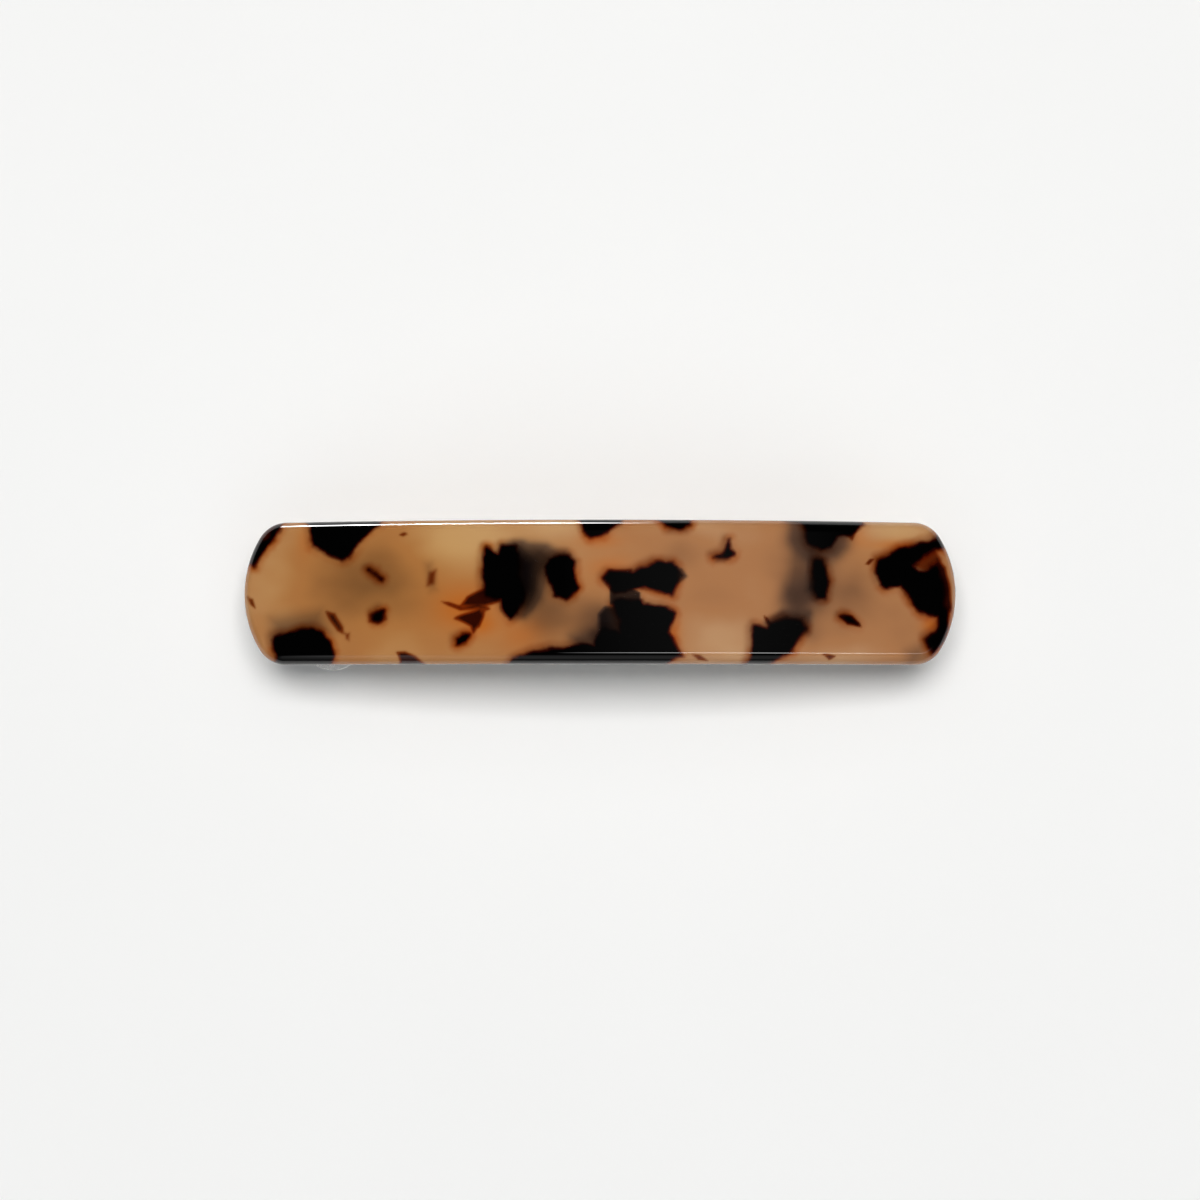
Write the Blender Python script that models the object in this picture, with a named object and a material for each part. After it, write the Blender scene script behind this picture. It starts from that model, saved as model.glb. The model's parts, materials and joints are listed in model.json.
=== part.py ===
"""Hair barrette: an arched acetate plate carried by an automatic spring clip.

X runs along the plate, from the catch end (-X) to the hinge end (+X). Y runs across it and Z is up.
The origin is on the surface the barrette rests on, under its middle, with the plate uppermost.
All sizes are in metres.
"""

import math

import bmesh
import bpy
from mathutils import Matrix, Vector

# Acetate plate, bent over a round former
PLATE_LENGTH = 0.080
PLATE_WIDTH = 0.016
PLATE_THICKNESS = 0.003
PLATE_RADIUS = 0.125
PLATE_END_RADIUS = 0.012
PLATE_CORNER_RADIUS = 0.0035
PLATE_TOP_ROUNDING = 0.0013
PLATE_BOTTOM_ROUNDING = 0.0006
CROWN_HEIGHT = 0.0176

# Sheet metal and clearances
SHEET = 0.0008
SPRING_SHEET = 0.0005
SEAT_GAP = 0.0003
RIVET_GAP = 0.0001

# Base bar: a strip with turned-down side walls, which carry the hinge lugs
BASE_HALF_LENGTH = 0.0386
BASE_HALF_WIDTH = 0.0042
BASE_END_ROUNDING = 0.0030
WALL_INNER_Y = 0.0037
WALL_OUTER_Y = 0.0045
WALL_BURIED = 0.00025
WALL_DROP = 0.0009
WALL_START_X = -0.0240
LUG_TOP_X = (0.0284, 0.0360)
LUG_FOOT_X = (0.0309, 0.0335)

# Hinge
PIVOT = Vector((0.0322, 0.0, 0.0035))
HINGE_PIN_RADIUS = 0.0007
HINGE_HEAD_RADIUS = 0.00125
HINGE_HEAD_HEIGHT = 0.0005
BASE_LUG_HOLE_RADIUS = 0.00078
ARM_LUG_HOLE_RADIUS = 0.0008

# Clasp arm
ARM_RADIUS = 0.135
ARM_DROP = 0.0116
ARM_END_X = (-0.0370, 0.0339)
ARM_HALF_WIDTH = 0.0034
ARM_PADDLE_HALF_WIDTH = 0.0040
ARM_PADDLE_X = (-0.0270, -0.0250)
ARM_WINDOW_X = (-0.0326, -0.0276)
ARM_WINDOW_HALF_WIDTH = 0.0025
ARM_LUG_Y = (0.0025, 0.0033)
ARM_LUG_HALF_LENGTH = 0.0016

# Tension bar
TENSION_HALF_LENGTH = 0.0262
TENSION_HALF_WIDTH = 0.0022
TENSION_SHEET = 0.0004
TENSION_DROP = 0.0063
TONGUE_X = 0.0259
TONGUE_SIZE = (0.0005, 0.0024)
TONGUE_SLOT_SIZE = (0.0012, 0.0032)

# Catch: its own frame sits on the base's underside, with its axis square to the bar
CATCH_X = -0.0320
CATCH_SEAT_GAP = 0.00015
FOOT_HALF_LENGTH = 0.0033
FOOT_HALF_WIDTH = 0.00115
WING_START_Y = 0.0013
WING_AXIS = Vector((0.0, 0.0016, -0.0007))
LEG_BEND_RADIUS = 0.00065
LEG_STRAIGHT_TO = 0.0030
EAR_BEND_RADIUS = 0.0008
EAR_SLOPE = math.radians(18)
EAR_RADIUS = 0.0039
EAR_REACH = 0.0085
EAR_WINDOW_HALF_LENGTH = 0.0021
EAR_WINDOW_TO_Y = 0.0047
PRONG_HALF_LENGTH = 0.0016
PRONG_Y = (0.00175, 0.00215)
PRONG_TOP = 0.0022
BARB_TOP = 0.0080
BARB_REACH = 0.00305
BARB_EDGE = 0.00025
PRONG_LENGTH = 0.0090
RIVET_X = 0.0019
RIVET_RADIUS = 0.0005
RIVET_HEAD_RADIUS = 0.00095
RIVET_HEAD_HEIGHT = 0.00035

# Pins that hold the base bar to the plate
FIXING_X = 0.0369
FIXING_RADIUS = 0.0006
FIXING_HEAD_RADIUS = 0.0012
FIXING_HEAD_HEIGHT = 0.0005
FIXING_BITE = 0.0017

# Mesh fineness
STRIP_STEP = 0.0025
ROUND_SIDES = 20
FILLET_STEPS = 4
CUT_PAST = 0.002

# Worked-out radii of the stacked arcs, all about the plate's own bending axis
BASE_RADIUS = PLATE_RADIUS - PLATE_THICKNESS - SEAT_GAP
BASE_CROWN = CROWN_HEIGHT - PLATE_THICKNESS - SEAT_GAP
BASE_UNDER_RADIUS = BASE_RADIUS - SHEET
BASE_UNDER_CROWN = BASE_CROWN - SHEET
ARM_CROWN = CROWN_HEIGHT - ARM_DROP


def clear_scene():
    for obj in list(bpy.data.objects):
        bpy.data.objects.remove(obj, do_unlink=True)


def make_material(name, colour, roughness, metallic):
    material = bpy.data.materials.new(name)
    material.use_nodes = True
    shader = material.node_tree.nodes["Principled BSDF"]
    shader.inputs["Base Color"].default_value = (*colour, 1.0)
    shader.inputs["Roughness"].default_value = roughness
    shader.inputs["Metallic"].default_value = metallic
    return material


def make_object(name, mesh_data, material=None, parent=None, location=(0, 0, 0)):
    """An object from a bmesh, which is freed."""
    bmesh.ops.recalc_face_normals(mesh_data, faces=mesh_data.faces)
    if mesh_data.calc_volume(signed=True) < 0:
        bmesh.ops.reverse_faces(mesh_data, faces=mesh_data.faces)
    mesh = bpy.data.meshes.new(name)
    mesh_data.to_mesh(mesh)
    mesh_data.free()
    obj = bpy.data.objects.new(name, mesh)
    bpy.context.scene.collection.objects.link(obj)
    obj.parent = parent
    obj.location = location
    if material:
        mesh.materials.append(material)
    return obj


def shade_round(obj, degrees=30):
    obj.data.shade_smooth()
    obj.data.set_sharp_from_angle(angle=math.radians(degrees))


def make_tool(name, mesh_data, parent=None, location=(0, 0, 0)):
    """A solid that only a Boolean uses."""
    tool = make_object(name, mesh_data, parent=parent, location=location)
    tool.hide_render = True
    tool.display_type = "WIRE"
    return tool


def boolean(obj, tool, operation):
    modifier = obj.modifiers.new(f"{operation.lower()} {tool.name}", "BOOLEAN")
    modifier.operation = operation
    modifier.solver = "EXACT"
    modifier.object = tool


def arc_points(centre, radius, start, end, steps):
    """Points of an arc in a plane, with both ends. Angles are in radians."""
    return [
        (
            centre[0] + radius * math.cos(start + (end - start) * i / steps),
            centre[1] + radius * math.sin(start + (end - start) * i / steps),
        )
        for i in range(steps + 1)
    ]


def mirrored_ring(quarter):
    """A closed outline from its +X +Y quarter, listed from the +X axis round to the +Y side."""
    half = quarter + [(-x, y) for x, y in reversed(quarter)]
    return half + [(x, -y) for x, y in reversed(half) if y > 1e-9]


def prism(outline, low, high, plane="XY"):
    """A closed prism of an outline, from low to high along the axis square to its plane."""
    place = {
        "XY": lambda a, b, c: (a, b, c),
        "XZ": lambda a, b, c: (a, c, b),
        "YZ": lambda a, b, c: (c, a, b),
    }[plane]
    mesh_data = bmesh.new()
    bottom = [mesh_data.verts.new(place(a, b, low)) for a, b in outline]
    face = mesh_data.faces.new(bottom)
    made = bmesh.ops.extrude_face_region(mesh_data, geom=[face])["geom"]
    moved = [item for item in made if isinstance(item, bmesh.types.BMVert)]
    bmesh.ops.translate(mesh_data, verts=moved, vec=place(0, 0, high - low))
    return mesh_data


def box(low, high):
    return prism(
        [(low[0], low[1]), (high[0], low[1]), (high[0], high[1]), (low[0], high[1])],
        low[2],
        high[2],
    )


def turned(profile, sides=ROUND_SIDES):
    """A solid of revolution about Z. The profile's (radius, height) points start and end on the axis."""
    mesh_data = bmesh.new()
    corners = [mesh_data.verts.new((radius, 0, height)) for radius, height in profile]
    edges = [mesh_data.edges.new(pair) for pair in zip(corners, corners[1:])]
    bmesh.ops.spin(
        mesh_data,
        geom=corners + edges,
        cent=(0, 0, 0),
        axis=(0, 0, 1),
        angle=math.tau,
        steps=sides,
        use_merge=True,
    )
    bmesh.ops.remove_doubles(mesh_data, verts=mesh_data.verts, dist=1e-7)
    return mesh_data


def cylinder(radius, low, high, sides=ROUND_SIDES):
    return turned([(0, low), (radius, low), (radius, high), (0, high)], sides)


def dome(radius, height, base, direction):
    """Profile points of a low domed head, from its rim to the axis. Direction is 1 for up, -1 for down."""
    rim = height * 0.35
    points = [(radius, base), (radius, base + direction * rim)]
    for i in range(1, FILLET_STEPS + 1):
        turn = math.pi / 2 * i / FILLET_STEPS
        points.append((radius * math.cos(turn), base + direction * (rim + (height - rim) * math.sin(turn))))
    points[-1] = (0, base + direction * height)
    return points


def arc_height(x, radius, crown):
    """Height at x of an arc whose top is at the crown's height, over x = 0."""
    return crown - radius + math.sqrt(radius**2 - x**2)


def cut_across(mesh_data, half_length):
    """Cuts square to X at even steps, so that the solid can be bent."""
    count = math.floor(half_length / STRIP_STEP)
    for i in range(-count, count + 1):
        everything = mesh_data.verts[:] + mesh_data.edges[:] + mesh_data.faces[:]
        bmesh.ops.bisect_plane(
            mesh_data,
            geom=everything,
            dist=1e-7,
            plane_co=(i * STRIP_STEP, 0, 0),
            plane_no=(1, 0, 0),
        )


def bend_over(mesh_data, radius, crown, true_depth=0):
    """Bends a flat solid whose upper face is at z = 0, so that this face becomes an arc about Y.

    Seen from above, sizes along X stay as they were at the given depth under that face.
    """
    for vert in mesh_data.verts:
        turn = math.asin(vert.co.x / (radius - true_depth))
        reach = radius + vert.co.z
        vert.co.x = reach * math.sin(turn)
        vert.co.z = crown - radius + reach * math.cos(turn)


def bent_sheet(outline, thickness, radius, crown):
    mesh_data = prism(outline, -thickness, 0)
    cut_across(mesh_data, max(abs(x) for x, _ in outline))
    bend_over(mesh_data, radius, crown)
    return mesh_data


def plate_outline(inset):
    """The plate's outline: curved ends, tangent corner arcs and straight sides, moved inwards by inset."""
    end_radius = PLATE_END_RADIUS - inset
    corner_radius = PLATE_CORNER_RADIUS - inset
    end_centre = PLATE_LENGTH / 2 - PLATE_END_RADIUS
    corner_y = PLATE_WIDTH / 2 - PLATE_CORNER_RADIUS
    corner_x = end_centre + math.sqrt((PLATE_END_RADIUS - PLATE_CORNER_RADIUS) ** 2 - corner_y**2)
    meet = math.atan2(corner_y, corner_x - end_centre)
    end = arc_points((end_centre, 0), end_radius, 0, meet, 6)
    corner = arc_points((corner_x, corner_y), corner_radius, meet, math.pi / 2, 7)
    return mirrored_ring(end + corner[1:])


def make_plate(material):
    # Each ring is (inset, height): the lower rounding, the wall, and the upper rounding.
    rings = []
    for rounding, level, side in (
        (PLATE_BOTTOM_ROUNDING, PLATE_BOTTOM_ROUNDING - PLATE_THICKNESS, -1),
        (PLATE_TOP_ROUNDING, -PLATE_TOP_ROUNDING, 1),
    ):
        turns = [math.pi / 2 * i / FILLET_STEPS for i in range(FILLET_STEPS + 1)]
        ring = [(rounding * (1 - math.cos(t)), level + side * rounding * math.sin(t)) for t in turns]
        rings += ring if side > 0 else ring[::-1]
    mesh_data = bmesh.new()
    loops = []
    for inset, height in rings:
        loops.append([mesh_data.verts.new((x, y, height)) for x, y in plate_outline(inset)])
    for lower, upper in zip(loops, loops[1:]):
        for i in range(len(lower)):
            following = (i + 1) % len(lower)
            mesh_data.faces.new((lower[i], lower[following], upper[following], upper[i]))
    mesh_data.faces.new(loops[0][::-1])
    mesh_data.faces.new(loops[-1])
    cut_across(mesh_data, PLATE_LENGTH / 2)
    bend_over(mesh_data, PLATE_RADIUS, CROWN_HEIGHT, PLATE_TOP_ROUNDING)
    plate = make_object("acetate_plate", mesh_data, material)
    for side in (-1, 1):
        hole = cylinder(FIXING_RADIUS + RIVET_GAP, 0, SHEET + SEAT_GAP + FIXING_BITE + RIVET_GAP)
        seat = seat_on_base(f"plate_hole_seat_{side}", side * FIXING_X)
        boolean(plate, make_tool(f"plate_hole_{side}", hole, seat), "DIFFERENCE")
    shade_round(plate)
    return plate


def seat_on_base(name, x):
    """An empty on the base bar's underside, with its Z square to the bar and its X along it."""
    seat = bpy.data.objects.new(name, None)
    bpy.context.scene.collection.objects.link(seat)
    turn = math.asin(x / BASE_UNDER_RADIUS)
    seat.location = (x, 0, arc_height(x, BASE_UNDER_RADIUS, BASE_UNDER_CROWN))
    seat.rotation_euler = (0, turn, 0)
    return seat


def strip_outline(half_length, half_width, rounding):
    corner = (half_length - rounding, half_width - rounding)
    return mirrored_ring([(half_length, 0)] + arc_points(corner, rounding, 0, math.pi / 2, 6))


def side_wall_outline():
    """Turned-down edge of the base, in X and Z: a shallow flange that deepens into the hinge lug."""
    top_radius = BASE_RADIUS - WALL_BURIED
    top_crown = BASE_CROWN - WALL_BURIED
    low_radius = BASE_UNDER_RADIUS - WALL_DROP
    low_crown = BASE_UNDER_CROWN - WALL_DROP
    steps = 24
    start, end = WALL_START_X, LUG_TOP_X[1]
    top = [start + (end - start) * i / steps for i in range(steps + 1)]
    flange_end = LUG_TOP_X[0] - 0.0016
    low = [flange_end + (start + 0.0006 - flange_end) * i / steps for i in range(steps + 1)]
    outline = [(x, arc_height(x, top_radius, top_crown)) for x in top]
    inner_shoulder = arc_height(LUG_TOP_X[0], low_radius, low_crown)
    outer_shoulder = arc_height(LUG_TOP_X[1], low_radius, low_crown)
    outline += [
        (LUG_TOP_X[1] - 0.0001, outer_shoulder),
        (LUG_FOOT_X[1] + 0.0004, 0.0006),
        (LUG_FOOT_X[1], 0.0),
        (LUG_FOOT_X[0], 0.0),
        (LUG_FOOT_X[0] - 0.0004, 0.0006),
        (LUG_TOP_X[0] + 0.0006, inner_shoulder - 0.0014),
        (LUG_TOP_X[0] - 0.0002, inner_shoulder - 0.0003),
    ]
    outline += [(x, arc_height(x, low_radius, low_crown)) for x in low]
    return outline


def make_base(material):
    outline = strip_outline(BASE_HALF_LENGTH, BASE_HALF_WIDTH, BASE_END_ROUNDING)
    base = make_object("base_bar", bent_sheet(outline, SHEET, BASE_RADIUS, BASE_CROWN), material)
    for side in (-1, 1):
        low, high = sorted((side * WALL_INNER_Y, side * WALL_OUTER_Y))
        wall = prism(side_wall_outline(), low, high, "XZ")
        boolean(base, make_tool(f"base_wall_{side}", wall), "UNION")
    boolean(base, pivot_cutter("base_pin_hole", BASE_LUG_HOLE_RADIUS), "DIFFERENCE")
    for side in (-1, 1):
        half_x, half_y = TONGUE_SLOT_SIZE[0] / 2, TONGUE_SLOT_SIZE[1] / 2
        middle = side * TONGUE_X
        slot = box((middle - half_x, -half_y, 0), (middle + half_x, half_y, CROWN_HEIGHT))
        boolean(base, make_tool(f"tongue_slot_{side}", slot), "DIFFERENCE")
        seat = seat_on_base(f"base_hole_seat_{side}", side * FIXING_X)
        hole = cylinder(FIXING_RADIUS + RIVET_GAP, -CUT_PAST, CUT_PAST)
        boolean(base, make_tool(f"base_hole_{side}", hole, seat), "DIFFERENCE")
    seat = seat_on_base("base_rivet_seat", CATCH_X)
    for side in (-1, 1):
        hole = cylinder(RIVET_RADIUS + RIVET_GAP, -CUT_PAST, CUT_PAST)
        tool = make_tool(f"base_rivet_hole_{side}", hole, seat, (side * RIVET_X, 0, 0))
        boolean(base, tool, "DIFFERENCE")
    return base


def pivot_cutter(name, radius):
    tool = make_tool(name, cylinder(radius, -0.008, 0.008), location=PIVOT)
    tool.rotation_euler = (math.pi / 2, 0, 0)
    return tool


def arm_outline():
    """Plan of the arm: a strip that widens into a round-ended paddle at the catch."""
    tip, hinge_end = ARM_END_X
    corner = 0.0006
    round_centre = tip + ARM_PADDLE_HALF_WIDTH
    half = [(hinge_end, 0), (hinge_end, ARM_HALF_WIDTH - corner), (hinge_end - corner, ARM_HALF_WIDTH)]
    half += [(ARM_PADDLE_X[1], ARM_HALF_WIDTH), (ARM_PADDLE_X[0], ARM_PADDLE_HALF_WIDTH)]
    half += arc_points((round_centre, 0), ARM_PADDLE_HALF_WIDTH, math.pi / 2, math.pi, 12)
    return half[:-1] + [(tip, 0)] + [(x, -y) for x, y in half[-2:0:-1]]


def make_arm(material):
    arm = make_object("clasp_arm", bent_sheet(arm_outline(), SHEET, ARM_RADIUS, ARM_CROWN), material)
    window = box(
        (ARM_WINDOW_X[0], -ARM_WINDOW_HALF_WIDTH, -CUT_PAST),
        (ARM_WINDOW_X[1], ARM_WINDOW_HALF_WIDTH, ARM_CROWN),
    )
    boolean(arm, make_tool("arm_window", window), "DIFFERENCE")
    foot = arc_height(PIVOT.x, ARM_RADIUS, ARM_CROWN) - SHEET / 2
    lug = [(PIVOT.x + ARM_LUG_HALF_LENGTH, foot)]
    lug += arc_points((PIVOT.x, PIVOT.z), ARM_LUG_HALF_LENGTH, 0, math.pi, 12)
    lug += [(PIVOT.x - ARM_LUG_HALF_LENGTH, foot)]
    for side in (-1, 1):
        low, high = sorted((side * ARM_LUG_Y[0], side * ARM_LUG_Y[1]))
        boolean(arm, make_tool(f"arm_lug_{side}", prism(lug, low, high, "XZ")), "UNION")
    boolean(arm, pivot_cutter("arm_pin_hole", ARM_LUG_HOLE_RADIUS), "DIFFERENCE")
    move_origin(arm, PIVOT)
    return arm


def move_origin(obj, point):
    """Puts the object's origin at a point, such as one on its joint's axis, without moving its shape."""
    obj.data.transform(Matrix.Translation(-Vector(point)))
    obj.location = point


def make_hinge_pin(material):
    shoulder = WALL_OUTER_Y + RIVET_GAP
    upper = [(HINGE_PIN_RADIUS, shoulder)] + dome(HINGE_HEAD_RADIUS, HINGE_HEAD_HEIGHT, shoulder, 1)
    lower = [(radius, -height) for radius, height in reversed(upper)]
    pin = make_object("hinge_pin", turned(lower + upper), material, location=PIVOT)
    pin.rotation_euler = (math.pi / 2, 0, 0)
    shade_round(pin)
    return pin


def make_tension_bar(material):
    end = arc_height(TENSION_HALF_LENGTH, BASE_UNDER_RADIUS, BASE_UNDER_CROWN) - SEAT_GAP
    crown = CROWN_HEIGHT - TENSION_DROP
    rise = crown - end
    radius = (TENSION_HALF_LENGTH**2 + rise**2) / (2 * rise)
    outline = strip_outline(TENSION_HALF_LENGTH, TENSION_HALF_WIDTH, 0.0008)
    bar = make_object("tension_bar", bent_sheet(outline, TENSION_SHEET, radius, crown), material)
    low = arc_height(TONGUE_X, radius, crown) - TENSION_SHEET / 2
    high = arc_height(TONGUE_X, BASE_UNDER_RADIUS, BASE_UNDER_CROWN) + SHEET / 2
    for side in (-1, 1):
        half_x, half_y = TONGUE_SIZE[0] / 2, TONGUE_SIZE[1] / 2
        middle = side * TONGUE_X
        tongue = box((middle - half_x, -half_y, low), (middle + half_x, half_y, high))
        boolean(bar, make_tool(f"tension_tongue_{side}", tongue), "UNION")
    move_origin(bar, (0, 0, crown))
    return bar


def sheet_profile(line, thickness):
    """The closed outline of a bent sheet around its middle line."""
    left, right = [], []
    for i, point in enumerate(line):
        before = Vector(line[max(i - 1, 0)])
        after = Vector(line[min(i + 1, len(line) - 1)])
        along = (after - before).normalized()
        square = Vector((-along.y, along.x)) * thickness / 2
        left.append(tuple(Vector(point) + square))
        right.append(tuple(Vector(point) - square))
    return left + right[::-1]


def ear_outline():
    """Plan of one wing: the width of its leg, ending in a round ear."""
    centre_y = EAR_REACH - EAR_RADIUS
    meet = math.acos(FOOT_HALF_LENGTH / EAR_RADIUS)
    round_end = arc_points((0, centre_y), EAR_RADIUS, -meet, math.pi + meet, 22)
    return [(-FOOT_HALF_LENGTH, 0), (FOOT_HALF_LENGTH, 0)] + round_end


def wing_line():
    """Middle line of the wing's sheet in Y and Z: round the first bend, down the leg and out along the ear."""
    level = -CATCH_SEAT_GAP - SPRING_SHEET / 2
    bend = (WING_START_Y, level - LEG_BEND_RADIUS)
    line = arc_points(bend, LEG_BEND_RADIUS, math.pi / 2, 0, 5)
    leg_y = WING_START_Y + LEG_BEND_RADIUS
    ear_bend = (leg_y + EAR_BEND_RADIUS, -LEG_STRAIGHT_TO)
    line += arc_points(ear_bend, EAR_BEND_RADIUS, math.pi, math.pi * 1.5 - EAR_SLOPE, 5)
    last = line[-1]
    reach = EAR_REACH + CUT_PAST
    return line + [(reach, last[1] - (reach - last[0]) * math.tan(EAR_SLOPE))]


def prong_profile():
    """Middle prong in Y and Z, with the barb that hooks under the arm's window."""
    inner, outer = PRONG_Y
    return [
        (inner, -PRONG_TOP),
        (outer, -PRONG_TOP),
        (outer, -BARB_TOP),
        (BARB_REACH, -BARB_TOP),
        (BARB_REACH, -BARB_TOP - BARB_EDGE),
        (outer, -PRONG_LENGTH),
        (inner, -PRONG_LENGTH),
    ]


def make_wing(name, side, seat, material):
    """One sprung wing of the catch, on the +Y side for 1 and the -Y side for -1, pivoting at its upper bend."""
    origin = Vector((WING_AXIS.x, side * WING_AXIS.y, WING_AXIS.z))

    def placed(mesh_data):
        for vert in mesh_data.verts:
            vert.co.y *= side
            vert.co -= origin
        return mesh_data

    half = FOOT_HALF_LENGTH + CUT_PAST
    sheet = prism(sheet_profile(wing_line(), SPRING_SHEET), -half, half, "YZ")
    wing = make_object(name, placed(sheet), material, seat, origin)
    outline = make_tool(f"{name}_outline", placed(prism(ear_outline(), -0.012, 0.002)), seat, origin)
    boolean(wing, outline, "INTERSECT")
    window = box(
        (-EAR_WINDOW_HALF_LENGTH, PRONG_Y[0] - CUT_PAST / 4, -0.012),
        (EAR_WINDOW_HALF_LENGTH, EAR_WINDOW_TO_Y, -LEG_STRAIGHT_TO),
    )
    boolean(wing, make_tool(f"{name}_window", placed(window), seat, origin), "DIFFERENCE")
    prong = prism(prong_profile(), -PRONG_HALF_LENGTH, PRONG_HALF_LENGTH, "YZ")
    boolean(wing, make_tool(f"{name}_prong", placed(prong), seat, origin), "UNION")
    return wing


def make_catch(material, rivet_material):
    seat = seat_on_base("catch_seat", CATCH_X)
    foot_top = -CATCH_SEAT_GAP
    foot_under = foot_top - SPRING_SHEET
    foot = make_object(
        "catch_foot",
        box(
            (-FOOT_HALF_LENGTH, -FOOT_HALF_WIDTH, foot_under),
            (FOOT_HALF_LENGTH, FOOT_HALF_WIDTH, foot_top),
        ),
        material,
        seat,
    )
    for name, side in (("catch_rivet_outer", -1), ("catch_rivet_inner", 1)):
        place = (side * RIVET_X, 0, 0)
        hole = cylinder(RIVET_RADIUS + RIVET_GAP, -CUT_PAST, CUT_PAST)
        boolean(foot, make_tool(f"{name}_hole", hole, seat, place), "DIFFERENCE")
        head = foot_under - RIVET_GAP
        profile = dome(RIVET_HEAD_RADIUS, RIVET_HEAD_HEIGHT, head, -1)[::-1]
        profile += [(RIVET_RADIUS, head), (RIVET_RADIUS, SHEET - RIVET_GAP), (0, SHEET - RIVET_GAP)]
        rivet = make_object(name, turned(profile), rivet_material, seat, place)
        shade_round(rivet)
    for name, side in (("catch_wing_front", -1), ("catch_wing_back", 1)):
        make_wing(name, side, seat, material)


def make_fixing_pins(material):
    top = SHEET + SEAT_GAP + FIXING_BITE
    for name, side in (("fixing_pin_left", -1), ("fixing_pin_right", 1)):
        head = -RIVET_GAP
        profile = dome(FIXING_HEAD_RADIUS, FIXING_HEAD_HEIGHT, head, -1)[::-1]
        profile += [(FIXING_RADIUS, head), (FIXING_RADIUS, top), (0, top)]
        seat = seat_on_base(f"{name}_seat", side * FIXING_X)
        shade_round(make_object(name, turned(profile), material, seat))


def main():
    clear_scene()
    acetate = make_material("tortoiseshell_acetate", (0.50, 0.27, 0.12), 0.12, 0.0)
    nickel = make_material("nickel_plated_steel", (0.72, 0.71, 0.69), 0.28, 1.0)
    spring = make_material("spring_steel", (0.66, 0.66, 0.66), 0.32, 1.0)
    rivet = make_material("rivet_steel", (0.62, 0.61, 0.60), 0.35, 1.0)
    make_plate(acetate)
    make_base(nickel)
    make_fixing_pins(rivet)
    make_arm(nickel)
    make_hinge_pin(rivet)
    make_tension_bar(spring)
    make_catch(spring, rivet)


main()
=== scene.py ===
import json
import math

import bmesh
import bpy
import numpy as np
from mathutils import Matrix, Vector


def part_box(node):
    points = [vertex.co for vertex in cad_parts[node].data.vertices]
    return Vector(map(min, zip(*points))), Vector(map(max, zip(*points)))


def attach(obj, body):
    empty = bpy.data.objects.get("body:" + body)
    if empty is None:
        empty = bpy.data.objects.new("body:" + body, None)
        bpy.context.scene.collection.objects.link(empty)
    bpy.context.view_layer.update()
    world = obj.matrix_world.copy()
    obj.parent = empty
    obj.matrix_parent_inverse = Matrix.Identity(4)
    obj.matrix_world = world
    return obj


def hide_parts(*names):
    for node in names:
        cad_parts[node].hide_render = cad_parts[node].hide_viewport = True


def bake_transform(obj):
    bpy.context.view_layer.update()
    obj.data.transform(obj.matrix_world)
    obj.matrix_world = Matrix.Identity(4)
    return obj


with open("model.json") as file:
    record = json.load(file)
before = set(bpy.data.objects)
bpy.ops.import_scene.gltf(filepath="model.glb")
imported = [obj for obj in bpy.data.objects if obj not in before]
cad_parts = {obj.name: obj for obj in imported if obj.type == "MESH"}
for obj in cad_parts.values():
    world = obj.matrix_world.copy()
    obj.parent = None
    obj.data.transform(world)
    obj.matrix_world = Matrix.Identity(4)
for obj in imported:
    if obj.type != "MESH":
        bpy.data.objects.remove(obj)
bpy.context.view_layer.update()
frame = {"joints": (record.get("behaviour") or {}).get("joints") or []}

# ---------------------------------------------------------------- sizes, in metres
MM = 0.001
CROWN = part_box("acetate_plate")[1].z
PIVOT = Vector(next(joint for joint in frame["joints"] if joint["name"] == "arm_hinge")["pos_m"])

PLATE_LENGTH = 0.07998
PLATE_WIDTH = 0.016
PLATE_THICKNESS = 0.003
PLATE_RADIUS = 0.125
PLATE_END_RADIUS = 0.012
PLATE_CORNER_RADIUS = 0.0035
PLATE_TOP_ROUNDING = 0.0013
PLATE_BOTTOM_ROUNDING = 0.0006

SEAT_GAP = 0.0003
SHEET = 0.0008
SPRING_SHEET = 0.0005
TENSION_SHEET = 0.0004
BASE_RADIUS = PLATE_RADIUS - PLATE_THICKNESS - SEAT_GAP
BASE_CROWN = CROWN - PLATE_THICKNESS - SEAT_GAP
BASE_UNDER_RADIUS = BASE_RADIUS - SHEET
BASE_UNDER_CROWN = BASE_CROWN - SHEET
ARM_RADIUS = 0.135
ARM_CROWN = CROWN - 0.0116

CATCH_X = -0.0320
CATCH_SEAT_GAP = 0.00015
CATCH_RIVET_X = 0.0019
FIXING_X = 0.0369
TONGUE_X = 0.0259


def arc_height(x, radius, crown):
    return crown - radius + math.sqrt(radius**2 - x**2)


def smooth(share):
    share = min(max(share, 0.0), 1.0)
    return share * share * (3 - 2 * share)


def seat_on_base(x):
    """The frame that sits on the base's underside at x, with its Z square to the bar and its X along it."""
    place = Matrix.Translation((x, 0, arc_height(x, BASE_UNDER_RADIUS, BASE_UNDER_CROWN)))
    return place @ Matrix.Rotation(math.asin(x / BASE_UNDER_RADIUS), 4, "Y")


CATCH_SEAT = seat_on_base(CATCH_X)


# ---------------------------------------------------------------- outlines
# An outline is a list of (x, y, normal x, normal y), with the normals pointing away from the material.
# The outside runs anticlockwise and a hole clockwise.


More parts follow.
